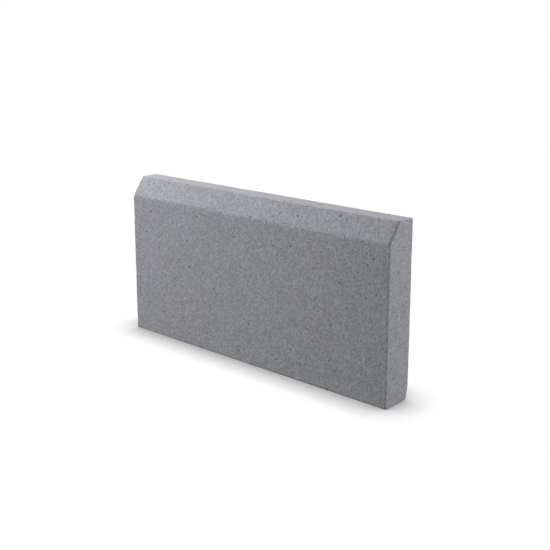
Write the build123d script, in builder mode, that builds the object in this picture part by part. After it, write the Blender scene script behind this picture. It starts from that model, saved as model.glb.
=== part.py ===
"""A pressed concrete kerb stone: one solid bar with a sloped upper front edge.

The stone stands on its bed as it would on a level floor. +X runs along its
length, -Y is the exposed front that carries the slope, and +Z is up. The origin
is the middle of the bed. Sizes are in millimetres.
"""

import os

from build123d import *

# The stone's overall size
length = 500.0
height = 250.0
thickness = 50.0

# The slope along the upper front edge, and how far it runs back and down
slope_depth = 20.0
slope_drop = 28.0

# Edges as the mould leaves them: the two long edges of the slope are the
# softest, the other long edges are barely rounded
slope_foot_radius = 6.0
slope_head_radius = 3.0
long_edge_radius = 1.5

# A narrow rebate across each end of the slope, where the mould's end plate
# pressed a little way into the concrete
rebate_width = 3.5
rebate_depth = 1.5

# How far the cut for a rebate runs on past the slope, enough to clear its
# rounded edges
rebate_overrun = 6.0

# The flat that the end plates leave round the outline of both ends
end_edge_flat = 1.0

# The section's corners, from the bed up the front and over the slope
front_y = -thickness / 2
back_y = thickness / 2
slope_foot = Vector(0, front_y, height - slope_drop)
slope_head = Vector(0, front_y + slope_depth, height)

# The plane that the slope lies in: its x runs along the stone, its y up the slope
slope_rise = slope_head - slope_foot
slope_plane = Plane(
    origin=(slope_foot + slope_head) / 2,
    x_dir=(1, 0, 0),
    z_dir=Vector(1, 0, 0).cross(slope_rise),
)

with BuildPart() as kerb_stone:
    # The section, drawn square to the length
    with BuildSketch(Plane.YZ):
        with BuildLine():
            Polyline(
                (front_y, 0),
                (front_y, slope_foot.Z),
                (slope_head.Y, height),
                (back_y, height),
                (back_y, 0),
                close=True,
            )
        make_face()
    extrude(amount=length / 2, both=True)

    # The slope's two long edges: the lower one is the only long edge at its
    # height, the upper one is the front edge of the top
    long_edges = kerb_stone.edges().filter_by(Axis.X)
    foot_edge = long_edges.sort_by(Axis.Z)[2]
    head_edge = long_edges.group_by(Axis.Z)[-1].sort_by(Axis.Y)[0]
    fillet(foot_edge, radius=slope_foot_radius)
    fillet(head_edge, radius=slope_head_radius)

    # The back's two long edges and the front edge of the bed
    back_edges = kerb_stone.edges().filter_by(Axis.X).group_by(Axis.Y)[-1]
    bed_edges = kerb_stone.edges().filter_by(Axis.X).group_by(Axis.Z)[0]
    fillet([*back_edges, bed_edges.sort_by(Axis.Y)[0]], radius=long_edge_radius)

    # The rebates run the whole way up the slope and out over its rounded edges
    with BuildSketch(slope_plane):
        with Locations(
            (-(length - rebate_width) / 2, 0),
            ((length - rebate_width) / 2, 0),
        ):
            Rectangle(rebate_width, slope_rise.length + 2 * rebate_overrun)
    extrude(amount=-rebate_depth, mode=Mode.SUBTRACT)

    # The outline of both ends
    ends = kerb_stone.faces().sort_by(Axis.X)
    chamfer([*ends[0].edges(), *ends[-1].edges()], length=end_edge_flat)

kerb_stone.part.label = "kerb_stone"

os.makedirs("parts", exist_ok=True)
export_step(kerb_stone.part, "parts/kerb_stone.step")

size = kerb_stone.part.bounding_box().size
print(f"size {size.X:.2f} x {size.Y:.2f} x {size.Z:.2f} mm")
print(f"volume {kerb_stone.part.volume / 1e6:.3f} litres")
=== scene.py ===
# %% [markdown]
# # A pressed concrete kerb stone
#
# A kerb stone is pressed in a steel mould from a damp, fine-grained concrete and
# pushed out while it's still soft. Everything on its skin comes from that: flat
# faces with open pores, edges that are slightly soft and crumbled, and a tone
# that is never quite even. This lesson rebuilds that skin as one closed mesh.
#
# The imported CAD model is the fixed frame. It gives the stone's place and size,
# and nothing here changes them. All lengths are in metres.

# %% Load the frame
import math
from collections import Counter

import bmesh
import bpy
from mathutils import Matrix, Vector


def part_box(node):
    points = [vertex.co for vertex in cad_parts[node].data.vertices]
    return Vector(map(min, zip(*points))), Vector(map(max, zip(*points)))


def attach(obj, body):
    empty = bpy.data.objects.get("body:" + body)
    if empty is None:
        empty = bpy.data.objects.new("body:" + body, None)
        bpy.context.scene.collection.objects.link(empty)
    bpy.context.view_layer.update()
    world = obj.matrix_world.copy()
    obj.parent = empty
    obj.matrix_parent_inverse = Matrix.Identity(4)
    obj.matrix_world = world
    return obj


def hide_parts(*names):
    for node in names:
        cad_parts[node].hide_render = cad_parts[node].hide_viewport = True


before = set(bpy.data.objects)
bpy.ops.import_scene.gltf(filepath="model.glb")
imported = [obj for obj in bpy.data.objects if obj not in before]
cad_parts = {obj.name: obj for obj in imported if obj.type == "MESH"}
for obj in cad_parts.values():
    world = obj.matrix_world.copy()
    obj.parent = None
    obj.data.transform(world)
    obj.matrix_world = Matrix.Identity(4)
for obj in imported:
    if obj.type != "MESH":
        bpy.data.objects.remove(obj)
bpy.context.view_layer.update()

mm_per_m = 1000
stone_low, stone_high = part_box("kerb_stone")
length, thickness, height = stone_high - stone_low
print(f"stone {length:.3f} x {thickness:.3f} x {height:.3f} m")

# %% [markdown]
# ## Writing node trees as maths
#
# Both the shape and the finish of the stone are node trees. Added one by one,
# their Math nodes are hard to read, so a small class wraps a number socket and
# overloads the operators: `1 - mask` then adds a Subtract node. Every other node
# comes from one method, which takes the node's type, its settings and its inputs.

# %% A number socket that can be calculated with
class Number:
    """A number in a node tree, from a socket, that Python's operators work on."""

    def __init__(self, nodes, socket):
        self.nodes = nodes
        self.socket = socket

    def math(self, operation, *values):
        return self.nodes.math(operation, *values)

    def __add__(self, other):
        return self.math("ADD", self, other)

    def __radd__(self, other):
        return self.math("ADD", other, self)

    def __sub__(self, other):
        return self.math("SUBTRACT", self, other)

    def __rsub__(self, other):
        return self.math("SUBTRACT", other, self)

    def __mul__(self, other):
        return self.math("MULTIPLY", self, other)

    def __rmul__(self, other):
        return self.math("MULTIPLY", other, self)

    def __truediv__(self, other):
        return self.math("DIVIDE", self, other)

    def __rtruediv__(self, other):
        return self.math("DIVIDE", other, self)

    def __pow__(self, other):
        return self.math("POWER", self, other)

    def __neg__(self):
        return self.math("MULTIPLY", self, -1.0)

    def __abs__(self):
        return self.math("ABSOLUTE", self)


# %% A tree that adds nodes
class Nodes:
    """Adds nodes to one tree: a material's or a Geometry Nodes tree."""

    def __init__(self, tree):
        self.tree = tree

    def add(self, kind, settings=None, inputs=None):
        """Adds a node of that type, with its settings, then its inputs' values or links."""
        node = self.tree.nodes.new(kind)
        for name, value in (settings or {}).items():
            setattr(node, name, value)
        for name, value in (inputs or {}).items():
            self.feed(self.input(node, name), value)
        return node

    def input(self, node, name):
        """An input by its number, its identifier or its name."""
        if isinstance(name, int):
            return node.inputs[name]
        named = [s for s in node.inputs if name in (s.identifier, s.name) and s.enabled]
        return named[0]

    def feed(self, socket, value):
        """Links a socket or a Number to an input, or sets a plain value."""
        if isinstance(value, Number):
            value = value.socket
        if isinstance(value, bpy.types.NodeSocket):
            self.tree.links.new(value, socket)
        else:
            socket.default_value = value

    def number(self, socket):
        return Number(self, socket)

    def math(self, operation, *values):
        """A Math node. Its result is a Number."""
        inputs = dict(enumerate(values))
        node = self.add("ShaderNodeMath", {"operation": operation}, inputs)
        return self.number(node.outputs[0])

    def vector_math(self, operation, *values):
        """A Vector Math node with a vector as its result."""
        inputs = dict(enumerate(values))
        return self.add("ShaderNodeVectorMath", {"operation": operation}, inputs).outputs[0]

    def measured(self, operation, *values):
        """A Vector Math node with a number as its result, such as a length."""
        inputs = dict(enumerate(values))
        node = self.add("ShaderNodeVectorMath", {"operation": operation}, inputs)
        return self.number(node.outputs["Value"])

    def scaled(self, vector, amount):
        """A vector times a number."""
        settings = {"operation": "SCALE"}
        node = self.add("ShaderNodeVectorMath", settings, {0: vector, "Scale": amount})
        return node.outputs[0]

    def split(self, vector):
        """A vector's three parts, as Numbers."""
        node = self.add("ShaderNodeSeparateXYZ", inputs={0: vector})
        return [self.number(part) for part in node.outputs]

    def joined(self, x, y, z):
        """Three numbers as one vector."""
        return self.add("ShaderNodeCombineXYZ", inputs={0: x, 1: y, 2: z}).outputs[0]

    def ramp(self, value, low, high, smooth=False):
        """0 where value is at low, 1 where it is at high, and in between from one to the other."""
        settings = {"interpolation_type": "SMOOTHSTEP" if smooth else "LINEAR"}
        inputs = {"Value": value, "From Min": low, "From Max": high}
        return self.number(self.add("ShaderNodeMapRange", settings, inputs).outputs[0])

    def noise(self, vector, size, detail=2.0, roughness=0.5, seed=0.0):
        """Cloudy noise from 0 to 1, with features of about that size in metres."""
        settings = {"noise_dimensions": "4D"}
        inputs = {
            "Vector": vector,
            "W": seed,
            "Scale": 1.0 / size,
            "Detail": detail,
            "Roughness": roughness,
        }
        return self.number(self.add("ShaderNodeTexNoise", settings, inputs).outputs[0])


# %% Try it on a small tree
trial = Nodes(bpy.data.node_groups.new("trial", "ShaderNodeTree"))
1 - trial.number(trial.add("ShaderNodeValue").outputs[0]) / 2
print("1 - value / 2 adds", [node.bl_label for node in trial.tree.nodes])
bpy.data.node_groups.remove(trial.tree)

# %% [markdown]
# ## The shape of the stone
#
# The real stone's shape follows a rule: one section, the same along the whole
# length, cut square at both ends. It could be drawn by hand and extruded, but
# then its edges would be perfect. Here Geometry Nodes start from a divided block
# instead, and a rule moves each point of it: first onto the slope, then inward
# near every edge. As the rule is a formula, its sizes can vary along an edge, and
# that is what makes the edge look cast and not machined.
#
# The sizes of the slope and of the rebates at its ends are those of the CAD.

# %% Sizes of the slope
slope_depth = 0.020
slope_drop = 0.028
slope_run = math.hypot(slope_depth, slope_drop)
rebate_width = 0.0035
rebate_depth = 0.0015
print(f"the slope is {slope_run * mm_per_m:.1f} mm wide")

# %% [markdown]
# A Geometry Nodes tree takes named inputs, so that a size is set once, on the
# modifier, and the tree works with any value. An input is set by its socket's
# identifier, because two inputs may have the same name.

# %% Trees with named inputs
def geometry_tree(name, sizes, seeds=()):
    """A new Geometry Nodes tree with a mesh input, number inputs and whole-number seeds.

    Gives its Nodes, its input socket of each name, and its output node.
    """
    tree = bpy.data.node_groups.new(name, "GeometryNodeTree")
    tree.is_modifier = True
    sockets = tree.interface
    sockets.new_socket("Geometry", in_out="INPUT", socket_type="NodeSocketGeometry")
    for size in sizes:
        sockets.new_socket(size, in_out="INPUT", socket_type="NodeSocketFloat")
    for seed in seeds:
        sockets.new_socket(seed, in_out="INPUT", socket_type="NodeSocketInt")
    sockets.new_socket("Geometry", in_out="OUTPUT", socket_type="NodeSocketGeometry")
    nodes = Nodes(tree)
    given = nodes.add("NodeGroupInput").outputs
    inputs = {socket.name: socket for socket in given if socket.name}
    for size in sizes:
        inputs[size] = nodes.number(inputs[size])
    return nodes, inputs, nodes.add("NodeGroupOutput")


def finish_tree(nodes, geometry, result):
    """Ends a tree: real geometry in place of instances, and the concrete on all of it."""
    realized = nodes.add("GeometryNodeRealizeInstances", inputs={"Geometry": geometry})
    painted = nodes.add(
        "GeometryNodeSetMaterial",
        inputs={"Geometry": realized.outputs[0], "Material": concrete},
    )
    nodes.feed(result.inputs[0], painted.outputs[0])
    print(f"{nodes.tree.name}: {len(nodes.tree.nodes)} nodes")


# %% Running a tree
def run_tree(mesh_object, tree, values):
    """Runs a tree on an object and returns the result as a plain mesh."""
    modifier = mesh_object.modifiers.new(tree.name, "NODES")
    modifier.node_group = tree
    identifiers = {
        item.name: item.identifier
        for item in tree.interface.items_tree
        if item.in_out == "INPUT"
    }
    for name, value in values.items():
        modifier[identifiers[name]] = value
    graph = bpy.context.evaluated_depsgraph_get()
    evaluated = mesh_object.evaluated_get(graph)
    mesh = bpy.data.meshes.new_from_object(evaluated)
    mesh_object.modifiers.remove(modifier)
    print(f"{tree.name} made {len(mesh.polygons)} faces")
    return mesh


def new_object(name, mesh):
    """Links a mesh to the scene as an object at the origin."""
    made = bpy.data.objects.new(name, mesh)
    bpy.context.scene.collection.objects.link(made)
    return made


# %% The concrete, whose nodes come later
concrete = bpy.data.materials.new("cast_concrete")
concrete.use_nodes = True
print("material", concrete.name)

# %% [markdown]
# Points that are evenly spaced all over would waste faces on the flats and have
# too few at the edges. So each coordinate is first stretched: a power of it is
# taken off, which crowds the last few rows of points together and leaves the
# rest nearly even.

# %% Crowd the points towards the block's edges
crowding = 0.09
crowding_power = 9.0


def crowded(coordinate, half):
    """Moves a coordinate from -half to half outwards, the more the nearer it is to an end."""
    share = coordinate / half
    return half * (share * (1 + crowding) - share**crowding_power * crowding)


spacing_at_edge = 1 + crowding - crowding_power * crowding
print(f"at an edge the rows are {spacing_at_edge:.2f} of the even spacing apart")

# %% [markdown]
# Each flat side is a distance and a direction: how far a point stands outside
# that side, and which way the side faces. Two sides meet in a rounded edge where
# a blend takes over from the plain "whichever is further out". The blend's width
# is the width of the worn edge.

# %% Blend two sides into a rounded edge
def rounded_edge(nodes, side_a, side_b, width):
    """The side that a rounded edge of that width makes of two sides.

    A side is a distance and the three parts of a direction.
    """
    distance_a, *facing_a = side_a
    distance_b, *facing_b = side_b
    share = nodes.ramp((distance_b - distance_a) / width, -1.0, 1.0)
    distance = distance_a + (distance_b - distance_a) * share
    distance = distance + width * share * (1 - share)
    facing = [a + (b - a) * share for a, b in zip(facing_a, facing_b)]
    return [distance, *facing]


def moved_in(nodes, geometry, side):
    """Moves each point that stands outside a side back onto it."""
    distance, *facing = side
    way = nodes.vector_math("NORMALIZE", nodes.joined(*facing))
    offset = nodes.scaled(way, -nodes.math("MAXIMUM", distance, 0.0))
    settled = nodes.add(
        "GeometryNodeSetPosition", inputs={"Geometry": geometry, "Offset": offset}
    )
    return settled.outputs[0]


# %% The block that the stone is cast from
form_values = {
    "Length": length,
    "Thickness": thickness,
    "Height": height,
    "Slope Depth": slope_depth,
    "Slope Drop": slope_drop,
    "Rebate Width": rebate_width,
    "Rebate Depth": rebate_depth,
    "Slope Edge Width": 0.0012,
    "Long Edge Width": 0.0022,
    "End Edge Width": 0.0016,
    "Edge Wear": 0.8,
    "Corner Wear": 0.008,
    "Undulation": 0.0003,
    "Grain Relief": 0.0002,
}
nodes, given, result = geometry_tree("cast_form", form_values)

cells_along, cells_across, cells_up = 156, 30, 120
block = nodes.add(
    "GeometryNodeMeshCube",
    inputs={
        "Size": nodes.joined(given["Length"], given["Thickness"], given["Height"]),
        "Vertices X": cells_along + 1,
        "Vertices Y": cells_across + 1,
        "Vertices Z": cells_up + 1,
    },
)
half_length = given["Length"] / 2
half_thickness = given["Thickness"] / 2
half_height = given["Height"] / 2
even_x, even_y, even_z = nodes.split(nodes.add("GeometryNodeInputPosition").outputs[0])
crowded_place = nodes.joined(
    crowded(even_x, half_length),
    crowded(even_y, half_thickness),
    crowded(even_z, half_height) + half_height,
)
placed = nodes.add(
    "GeometryNodeSetPosition",
    inputs={"Geometry": block.outputs[0], "Position": crowded_place},
)
print(f"cells of about {length / cells_along * mm_per_m:.1f} mm along the stone")

# %% [markdown]
# The slope is one more side, set back a little within a few millimetres of each
# end: there the mould's end plates overlap it and press a fine rebate. In the
# photograph that rebate is the thin dark line across the slope's near end.

# %% Cut the slope with its rebates
rebate_ramp = 0.0005
slope_length = (given["Slope Depth"] ** 2 + given["Slope Drop"] ** 2) ** 0.5
slope_facing = [0.0, -given["Slope Drop"] / slope_length, given["Slope Depth"] / slope_length]
slope_foot_z = given["Height"] - given["Slope Drop"]
rebate_edge = half_length - given["Rebate Width"]


def slope_side(x, y, z):
    """The slope as a side, at one point: distance and direction."""
    in_rebate = nodes.ramp(abs(x), rebate_edge - rebate_ramp, rebate_edge + rebate_ramp)
    distance = (y + half_thickness) * slope_facing[1] + (z - slope_foot_z) * slope_facing[2]
    return [distance + in_rebate * given["Rebate Depth"], *slope_facing]


x, y, z = nodes.split(nodes.add("GeometryNodeInputPosition").outputs[0])
sloped = moved_in(nodes, placed.outputs[0], slope_side(x, y, z))
print(f"rebates {rebate_width * mm_per_m:.1f} mm wide, {rebate_depth * mm_per_m:.1f} mm deep")

# %% [markdown]
# No edge of a pressed stone is equally sharp along its length: it crumbles a
# little wherever the paste was dry. Broad patches and small crumbs of noise widen
# the rounding, and one lower corner, which the photograph shows knocked, is worn
# more than the rest.

# %% Wear along the edges
patch_size, crumb_size = 0.030, 0.006
sound_patch, worn_patch = 0.45, 0.75
sound_crumb, worn_crumb = 0.5, 0.8
worn_reach = 0.022
place = nodes.add("GeometryNodeInputPosition").outputs[0]
x, y, z = nodes.split(place)
patches = nodes.noise(place, patch_size, detail=3.0, seed=2.0)
crumbs = nodes.noise(place, crumb_size, detail=2.0, seed=5.0)
wear = 1 + given["Edge Wear"] * nodes.ramp(patches, sound_patch, worn_patch, smooth=True)
wear = wear + given["Edge Wear"] * nodes.ramp(crumbs, sound_crumb, worn_crumb, smooth=True)
from_corner = nodes.measured("DISTANCE", place, nodes.joined(half_length, half_thickness, 0.0))
corner_wear = given["Corner Wear"] * nodes.ramp(from_corner, worn_reach, 0.0, smooth=True)
print(f"the worn corner reaches {worn_reach * mm_per_m:.0f} mm")

# %% Join the sides, edge by edge
across, upward = y, z - half_height
face_side = [abs(across) - half_thickness, 0.0, nodes.math("SIGN", across), 0.0]
level_side = [abs(upward) - half_height, 0.0, 0.0, nodes.math("SIGN", upward)]
end_side = [abs(x) - half_length, nodes.math("SIGN", x), 0.0, 0.0]
section = rounded_edge(nodes, face_side, level_side, given["Long Edge Width"] * wear)
section = rounded_edge(nodes, section, slope_side(x, y, z), given["Slope Edge Width"] * wear)
end_width = given["End Edge Width"] * wear + corner_wear
rounded = moved_in(nodes, sloped, rounded_edge(nodes, section, end_side, end_width))
print(f"{len(nodes.tree.nodes)} nodes so far")

# %% [markdown]
# A flat of pressed concrete isn't a mirror. The form ends with two reliefs, long
# waves and a fine grain, that only ever go inward, so that the stone stays inside
# its CAD size.

# %% Relief, and the finished form
wave_size, grain_size = 0.070, 0.0065
place = nodes.add("GeometryNodeInputPosition").outputs[0]
outward = nodes.add("GeometryNodeInputNormal").outputs[0]
waves = nodes.noise(place, wave_size, detail=1.0, seed=9.0)
relief_grains = nodes.noise(place, grain_size, detail=1.0, seed=12.0)
sunk = waves * given["Undulation"] + relief_grains * given["Grain Relief"]
relief = nodes.add(
    "GeometryNodeSetPosition",
    inputs={"Geometry": rounded, "Offset": nodes.scaled(outward, -sunk)},
)
smooth = nodes.add("GeometryNodeSetShadeSmooth", inputs={"Geometry": relief.outputs[0]})
finish_tree(nodes, smooth.outputs[0], result)

# %% Cast it
blank = new_object("blank", bpy.data.meshes.new("blank"))
form_mesh = run_tree(blank, nodes.tree, form_values)

# %% [markdown]
# ## Open pores and chipped edges
#
# Air caught against the mould leaves small round pits all over a pressed stone,
# many of a millimetre and a few of three. From a step away they are the dark
# specks that say concrete. A bump map can darken such a spot, but it stays flat
# when light grazes it, so here each pit is cut into the mesh.
#
# Geometry Nodes scatter points over the skin, put a small lumpy ball on each and
# take all the balls away in one Mesh Boolean. Its Manifold solver needs closed
# meshes and gives a closed mesh back, in less than a second. The balls carry an
# attribute, `pore`, that the faces they leave behind keep, so that the material
# can tell the inside of a pit from the skin.

# %% Numbers that vary from point to point
# A Random Value node has a set of sockets for each type, in the order of vector,
# number, whole number and yes or no. The second set is the one for numbers.
def random_number(nodes, low, high, seed):
    """A number from low to high, different at each point."""
    settings = {"data_type": "FLOAT"}
    inputs = {"Min_001": low, "Max_001": high, "Seed": seed}
    return nodes.number(nodes.add("FunctionNodeRandomValue", settings, inputs).outputs[1])


def random_vector(nodes, low, high, seed):
    """Three numbers from low to high, different at each point."""
    settings = {"data_type": "FLOAT_VECTOR"}
    inputs = {"Min": (low,) * 3, "Max": (high,) * 3, "Seed": seed}
    return nodes.add("FunctionNodeRandomValue", settings, inputs).outputs[0]


# %% A lumpy ball to cut with
ball_segments, ball_rings = 8, 5
lump_size = 1.1
lowest_lump, highest_lump = 0.7, 1.3


def lumpy_ball(nodes):
    """A small closed ball of radius 1 with an uneven skin, marked as a pore."""
    ball = nodes.add(
        "GeometryNodeMeshUVSphere",
        inputs={"Segments": ball_segments, "Rings": ball_rings, "Radius": 1.0},
    )
    place = nodes.add("GeometryNodeInputPosition").outputs[0]
    lumps = nodes.noise(place, lump_size, detail=0.0, seed=3.0)
    swelling = lowest_lump + (highest_lump - lowest_lump) * lumps
    uneven = nodes.add(
        "GeometryNodeSetPosition",
        inputs={"Geometry": ball.outputs[0], "Position": nodes.scaled(place, swelling)},
    )
    marked = nodes.add(
        "GeometryNodeStoreNamedAttribute",
        {"data_type": "FLOAT", "domain": "FACE"},
        {"Geometry": uneven.outputs[0], "Name": "pore", "Value": 1.0},
    )
    return marked.outputs[0]


print(f"a ball has {ball_segments * ball_rings} faces")

# %% [markdown]
# Points scattered with the Poisson method keep a least distance from each other,
# as real pores do, because two bubbles that touch become one. The share of points
# that stays is set by a density from 0 to 1 at each place. Pores are fewer on the
# smooth top, and chips sit only where two of the block's sides meet.

# %% Balls on the skin
most_squeezed, most_stretched = 0.55, 1.35


def balls_on_skin(nodes, skin, ball, spacing, share, radius, seed):
    """Scatters balls over a skin. The share of places used and the radius may vary."""
    scattered = nodes.add(
        "GeometryNodeDistributePointsOnFaces",
        {"distribute_method": "POISSON"},
        {
            "Mesh": skin,
            "Distance Min": spacing,
            "Density Max": 1.0 / spacing**2,
            "Density Factor": share,
            "Seed": seed,
        },
    )
    stretch = random_vector(nodes, most_squeezed, most_stretched, seed)
    spin = random_vector(nodes, 0.0, math.tau, seed)
    turned = nodes.add("FunctionNodeEulerToRotation", inputs={"Euler": spin})
    placed = nodes.add(
        "GeometryNodeInstanceOnPoints",
        inputs={
            "Points": scattered.outputs["Points"],
            "Instance": ball,
            "Rotation": turned.outputs[0],
            "Scale": nodes.scaled(stretch, radius),
        },
    )
    return placed.outputs[0]


# %% Where the pores go, and how large they are
pore_values = {
    "Length": length,
    "Thickness": thickness,
    "Height": height,
    "Pore Spacing": 0.0125,
    "Smallest Pore": 0.00055,
    "Largest Pore": 0.00145,
    "Top Share": 0.45,
    "Chip Spacing": 0.006,
    "Smallest Chip": 0.0008,
    "Largest Chip": 0.0018,
    "Chip Share": 0.35,
    "Edge Reach": 0.0015,
}
pore_seeds = {"Pore Seed": 4, "Chip Seed": 11}
nodes, given, result = geometry_tree("open_pores", pore_values, pore_seeds)
x, y, z = nodes.split(nodes.add("GeometryNodeInputPosition").outputs[0])
_, _, facing_up = nodes.split(nodes.add("GeometryNodeInputNormal").outputs[0])

# Most pores are near the smallest size, because the draw is raised to a power
rarity_of_large = 3.0
few_large = random_number(nodes, 0.0, 1.0, given["Pore Seed"]) ** rarity_of_large
pore_range = given["Largest Pore"] - given["Smallest Pore"]
pore_radius = given["Smallest Pore"] + pore_range * few_large
tilted, level = 0.8, 0.9
level_top = nodes.ramp(facing_up, tilted, level)
pore_share = 1 - level_top * (1 - given["Top Share"])
print(f"a pore at about every {pore_values['Pore Spacing'] * mm_per_m:.1f} mm")

# %% Where the chips go: within reach of two sides at once
between_one_and_two = 1.5
half_height = given["Height"] / 2
outside = [
    abs(x) - given["Length"] / 2,
    abs(y) - given["Thickness"] / 2,
    abs(z - half_height) - half_height,
]
near = [nodes.math("GREATER_THAN", side, -given["Edge Reach"]) for side in outside]
near_edge = nodes.math("GREATER_THAN", near[0] + near[1] + near[2], between_one_and_two)
chip_radius = random_number(
    nodes, given["Smallest Chip"], given["Largest Chip"], given["Chip Seed"]
)
print(f"chips up to {2 * pore_values['Largest Chip'] * mm_per_m:.1f} mm across")

# %% Take the balls away
skin = given["Geometry"]
ball = lumpy_ball(nodes)
cut = nodes.add(
    "GeometryNodeMeshBoolean",
    {"operation": "DIFFERENCE", "solver": "MANIFOLD"},
    {"Mesh 1": skin},
)
for spacing, share, radius, seed in (
    (given["Pore Spacing"], pore_share, pore_radius, given["Pore Seed"]),
    (given["Chip Spacing"], near_edge * given["Chip Share"], chip_radius, given["Chip Seed"]),
):
    cutters = balls_on_skin(nodes, skin, ball, spacing, share, radius, seed)
    nodes.feed(nodes.input(cut, "Mesh 2"), cutters)

# Where a cut leaves points that all but touch, they become one
weld_distance = 0.00001
welded = nodes.add(
    "GeometryNodeMergeByDistance",
    inputs={"Geometry": cut.outputs[0], "Distance": weld_distance},
)
triangles = nodes.add("GeometryNodeTriangulate", inputs={"Mesh": welded.outputs[0]})

# Smooth all over, but with a crisp rim round each pit
crisp_angle = math.radians(38)
smooth = nodes.add("GeometryNodeSetShadeSmooth", inputs={"Geometry": triangles.outputs[0]})
edge_angle = nodes.add("GeometryNodeInputMeshEdgeAngle").outputs[0]
rims = nodes.math("GREATER_THAN", edge_angle, crisp_angle)
crisp = nodes.add(
    "GeometryNodeSetShadeSmooth",
    {"domain": "EDGE"},
    {"Geometry": smooth.outputs[0], "Selection": rims, "Shade Smooth": False},
)
finish_tree(nodes, crisp.outputs[0], result)

# %% Open them
cast_form = new_object("cast_form", form_mesh)
stone_mesh = run_tree(cast_form, nodes.tree, {**pore_values, **pore_seeds})
for helper in (blank, cast_form):
    bpy.data.objects.remove(helper)

# %% [markdown]
# With all faces split into triangles, a few pairs of them lie back to back on the
# same three points: flaps without any volume. Once both of a pair are gone the skin
# closes there, and every edge has exactly two faces, as a closed mesh needs.

# %% Take off the flaps
def three_corners(face):
    """The numbers of a triangle's points, in any order."""
    return frozenset(face.vertices)


times_used = Counter(three_corners(face) for face in stone_mesh.polygons)
shell = bmesh.new()
shell.from_mesh(stone_mesh)
flaps = [
    face
    for face in shell.faces
    if times_used[frozenset(point.index for point in face.verts)] > 1
]
bmesh.ops.delete(shell, geom=flaps, context="FACES")
shell.to_mesh(stone_mesh)
shell.free()

# Two edges that now run between the same two points become one
stone_mesh.validate()
faces_at_edge = Counter(edge for face in stone_mesh.polygons for edge in face.edge_keys)
open_edges = sum(faces != 2 for faces in faces_at_edge.values())
cast_stone = new_object("cast_stone", stone_mesh)
print(f"{len(flaps)} flaps off, {open_edges} open edges, {len(stone_mesh.polygons)} triangles")

# %% [markdown]
# ## The concrete itself
#
# The paste is a mid grey with a hint of blue. Over it lie sand and finer grit, some
# lighter and some darker, and broad clouds where the mix was a little wetter. All of
# it is made from noise on Object coordinates, which are metres here, so that every
# size can be written as a real one.

# %% Clouds, sand and fines
paste_colour = (0.308, 0.314, 0.340)
cloud_size, patch_size, sand_size, fines_size = 0.060, 0.014, 0.0042, 0.0014
nodes = Nodes(concrete.node_tree)
surface = concrete.node_tree.nodes["Principled BSDF"]
place = nodes.add("ShaderNodeTexCoord").outputs["Object"]
x, y, z = nodes.split(place)
clouds = nodes.noise(place, cloud_size, detail=3.0, seed=1.0) - 0.5
patches = nodes.noise(place, patch_size, detail=2.0, seed=2.0) - 0.5
sand = nodes.noise(place, sand_size, detail=2.0, roughness=0.6, seed=3.0) - 0.5
fines = nodes.noise(place, fines_size, detail=1.0, seed=4.0) - 0.5
print(f"noise of {cloud_size * mm_per_m:.1f} mm down to {fines_size * mm_per_m:.1f} mm")

# %% [markdown]
# The top is the face that the press levelled, and steel plates smoothed the ends,
# so their speckle is weaker than that of the long sides. The speckle is added up as
# a tone that multiplies the paste: 1 is plain paste, less is darker and more is
# lighter.

# %% The tone of the speckle
cloud_strength, patch_strength = 0.10, 0.12
sand_strength, fines_strength = 0.88, 1.40
top_calm, end_calm = 0.42, 0.20
end_x = length / 2
below_top, at_top = 0.0022, 0.0008
before_end, at_end = 0.0016, 0.0006
on_top = nodes.ramp(z, height - below_top, height - at_top)
on_end = nodes.ramp(abs(x), end_x - before_end, end_x - at_end)
calm = (1 - top_calm * on_top) * (1 - end_calm * on_end)
speckle = (sand * sand_strength + fines * fines_strength) * calm
tone = 1 + clouds * cloud_strength + patches * patch_strength + speckle
print(f"the speckle is {1 - top_calm:.2f} as strong on the top, {1 - end_calm:.2f} on the ends")

# %% [markdown]
# Single dark and light grains stand out of the speckle. A Voronoi texture divides
# space into cells of about one grain each and gives every cell a random colour,
# which here decides whether its grain shows at all. Each kind of grain has a shift
# of its own, which keeps the light ones off the places of the dark ones.

# %% Single grains
core = 0.5
dark_strength, light_strength = 0.40, 0.34
dark_sizes = {"cell": 0.0044, "radius": 0.0009, "share": 0.35, "shift": 0.4}
light_sizes = {"cell": 0.0038, "radius": 0.0011, "share": 0.30, "shift": 1.7}


def grains(cell, radius, share, shift):
    """A mask of round grains in a share of the cells, soft outside the core of each."""
    shifted = nodes.vector_math("ADD", place, (shift,) * 3)
    found = nodes.add("ShaderNodeTexVoronoi", inputs={"Vector": shifted, "Scale": 1.0 / cell})
    away = nodes.number(found.outputs["Distance"]) * cell
    draw = nodes.split(found.outputs["Color"])[0]
    chosen = nodes.math("LESS_THAN", draw, share)
    return nodes.ramp(away, radius, radius * core) * chosen


tone = tone * (1 - dark_strength * grains(**dark_sizes))
tone = tone * (1 + light_strength * grains(**light_sizes))
for name, sizes in (("dark", dark_sizes), ("light", light_sizes)):
    print(f"{name} grains up to {2 * sizes['radius'] * mm_per_m:.1f} mm across")
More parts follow.
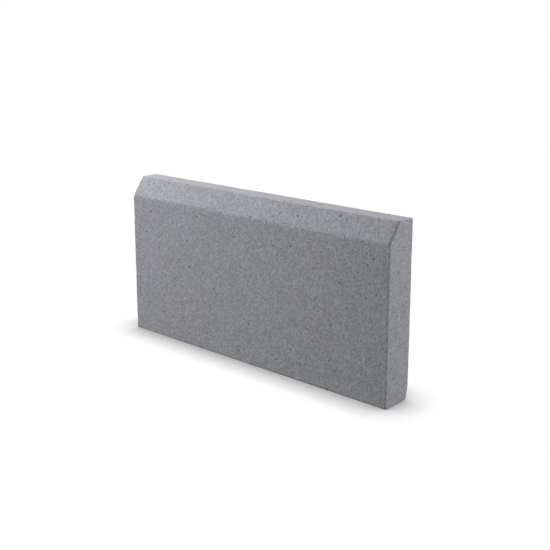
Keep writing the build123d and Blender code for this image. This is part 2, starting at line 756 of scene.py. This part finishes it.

# %% [markdown]
# Painted shade darkens the colour where the surface is sunk: inside the pores, along
# with some dirt, and in the narrow rebate at each end of the slope. The colour is also
# a little darker along the ends of the front.

# %% Painted shade in the pores and the rebates, and darker front ends
painted_rebate_shade, rebate_mottle = 0.28, 0.5
front_end_shade = 0.08
painted_pore_shade_and_dirt = 0.55
under_rebate, in_slope_skin = -0.0023, -0.0017
before_rebate, past_step = 0.0041, 0.0033
on_end_edge, inside_end_edge = 0.0009, 0.0015
behind_front, at_front = 0.0012, 0.0006
over_slope = (z - (height - slope_drop)) * (slope_depth / slope_run)
over_slope = over_slope - (y + thickness / 2) * (slope_drop / slope_run)
on_slope = nodes.ramp(over_slope, under_rebate, in_slope_skin)
at_ends = nodes.ramp(abs(x), end_x - before_rebate, end_x - past_step)
in_rebate = at_ends * nodes.ramp(abs(x), end_x - on_end_edge, end_x - inside_end_edge)
on_front = nodes.ramp(y, behind_front - thickness / 2, at_front - thickness / 2)
in_pore = nodes.number(
    nodes.add("ShaderNodeAttribute", {"attribute_name": "pore"}).outputs["Fac"]
)
# painted shade in the rebate, where the step would shade it, made uneven by sand and patches
uneven_painted_shade = painted_rebate_shade + rebate_mottle * sand + rebate_mottle * patches
tone = tone * (1 - uneven_painted_shade * on_slope * in_rebate)
tone = tone * (1 - front_end_shade * on_front * at_ends)
# painted shade, together with some dirt, inside each pore
tone = tone * (1 - painted_pore_shade_and_dirt * in_pore)
nodes.feed(surface.inputs["Base Color"], nodes.scaled(paste_colour, tone))
print(f"{len(concrete.node_tree.nodes)} nodes in the concrete")

# %% [markdown]
# Dry concrete scatters light in all directions. It is nearly as rough as a surface
# can be, a little less so where the paste lies thick over the sand, and the finest
# relief, too fine for the mesh, is a bump.

# %% A dry, slightly uneven finish
plain_roughness, patch_roughness, sand_roughness = 0.86, 0.10, 0.12
dull_shine = 0.35
bump_strength, bump_depth, fines_height = 0.5, 0.0004, 0.5
roughness = plain_roughness + patch_roughness * patches + sand_roughness * sand
nodes.feed(surface.inputs["Roughness"], roughness)
surface.inputs["Specular IOR Level"].default_value = dull_shine
bump = nodes.add(
    "ShaderNodeBump",
    inputs={
        "Strength": bump_strength,
        "Distance": bump_depth,
        "Height": sand + fines_height * fines,
    },
)
nodes.feed(surface.inputs["Normal"], bump.outputs[0])
print(f"bump up to {bump_depth * mm_per_m:.1f} mm deep")

# %% The stone's place in the model
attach(cast_stone, "root")
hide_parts("kerb_stone")
print(cast_stone.name, "replaces kerb_stone")

# %% [markdown]
# ## Floor and light
#
# The photograph shows the stone on plain white, with one soft shadow that hugs its
# foot. A floor lit by the lamps would show a shadow of each lamp and a horizon, so
# this floor glows white by itself. Ambient Occlusion measures how much of the space
# above each of its points is open, and darkens it where the stone stands close. The
# floor sends no light back up, because the faces of the real stone get no brighter
# towards its foot.

# %% A white floor with a contact shadow
floor_reach = 3.0
shadow_reach = 0.05
shadow_strength = 1.2
corners = [(-1, -1, 0), (1, -1, 0), (1, 1, 0), (-1, 1, 0)]
floor_mesh = bpy.data.meshes.new("floor")
floor_mesh.from_pydata(
    [Vector(corner) * floor_reach for corner in corners], [], [(0, 1, 2, 3)]
)
floor = new_object("floor", floor_mesh)
floor_paint = bpy.data.materials.new("floor_paint")
floor_paint.use_nodes = True
floor_mesh.materials.append(floor_paint)
floor_surface = floor_paint.node_tree.nodes["Principled BSDF"]
floor_surface.inputs["Base Color"].default_value = (0, 0, 0, 1)
floor_surface.inputs["Specular IOR Level"].default_value = 0.0
floor_surface.inputs["Emission Strength"].default_value = 1.0
nodes = Nodes(floor_paint.node_tree)
openness = nodes.number(
    nodes.add("ShaderNodeAmbientOcclusion", inputs={"Distance": shadow_reach}).outputs["AO"]
)
glow = nodes.scaled((1, 1, 1), openness**shadow_strength)
nodes.feed(floor_surface.inputs["Emission Color"], glow)
floor.visible_diffuse = False
floor.visible_glossy = False
print(f"the contact shadow reaches {shadow_reach} m")

# %% White beyond the floor
world = bpy.data.worlds.new("studio")
world.use_nodes = True
background = world.node_tree.nodes["Background"]
background.inputs["Color"].default_value = (1, 1, 1, 1)
background.inputs["Strength"].default_value = 1.0
world.cycles_visibility.diffuse = False
world.cycles_visibility.glossy = False
bpy.context.scene.world = world
bpy.context.scene.view_settings.view_transform = "Standard"
print("view transform", bpy.context.scene.view_settings.view_transform)

# %% [markdown]
# In the photograph the top is the brightest face and the front the darkest, each
# face darkens from left to right, and no shadow has a hard edge. That takes a large
# box high up behind and to the left for the top, one low in front, one at the right
# for the near end, and two nearer ones at the left, whose light falls off along the
# stone. A box's place sets which faces it lights, and its size how soft its shadow is.

# %% Soft boxes: where each stands, what it looks at, its size and its watts
soft_boxes = {
    "left_over": ((-0.75, -0.15, 0.95), (0, 0, 0.20), 0.5, 5.9),
    "left_front": ((-1.0, -0.9, 0.8), (-0.1, 0, 0.15), 0.6, 10.4),
    "front_low": ((-0.38, -2.13, 0.50), (0, 0, 0.12), 0.7, 19.6),
    "right": ((1.6, 0.3, 0.7), (0.25, 0, 0.12), 0.9, 22.4),
    "back_over": ((-0.8, 1.3, 1.6), (0, 0, 0.20), 1.2, 32.6),
}
for name, (place, aim, size, watts) in soft_boxes.items():
    light = bpy.data.lights.new(name, "AREA")
    light.size = size
    light.energy = watts
    box = bpy.data.objects.new(name, light)
    box.location = place
    box.rotation_euler = (Vector(aim) - Vector(place)).to_track_quat("-Z", "Y").to_euler()
    bpy.context.scene.collection.objects.link(box)
    print(f"{name}: {watts} W")

# %% [markdown]
# ## The camera
#
# The camera's place, aim and focal length were solved from the stone's corners as
# the photograph shows them. The photograph's upright edges are nearly parallel, as
# a lens shifted downwards gives them, so a small shift is part of the solution.

# %% The camera
azimuth = math.radians(41.91)
elevation = math.radians(12.58)
distance = 1.3916
aim = Vector((0, 0, 0.100))
move_right, move_up = 0.0243, 0.1109
focal_pixels = 942.7
image_pixels = 550
sensor = 36.0
shift_down = 0.10

away = Vector(
    (
        math.sin(azimuth) * math.cos(elevation),
        -math.cos(azimuth) * math.cos(elevation),
        math.sin(elevation),
    )
)
rightward = Vector((math.cos(azimuth), math.sin(azimuth), 0))
upward = away.cross(rightward)
camera_data = bpy.data.cameras.new("camera")
camera_data.sensor_width = sensor
camera_data.lens = focal_pixels / image_pixels * sensor
camera_data.shift_y = -shift_down
camera = bpy.data.objects.new("camera", camera_data)
bpy.context.scene.collection.objects.link(camera)
turn = Matrix((rightward, upward, away)).transposed().to_4x4()
eye = aim + away * distance + rightward * move_right + upward * move_up
camera.matrix_world = Matrix.Translation(eye) @ turn
bpy.context.scene.camera = camera
print(f"lens {camera_data.lens:.1f} mm, camera at {tuple(round(part, 3) for part in eye)}")
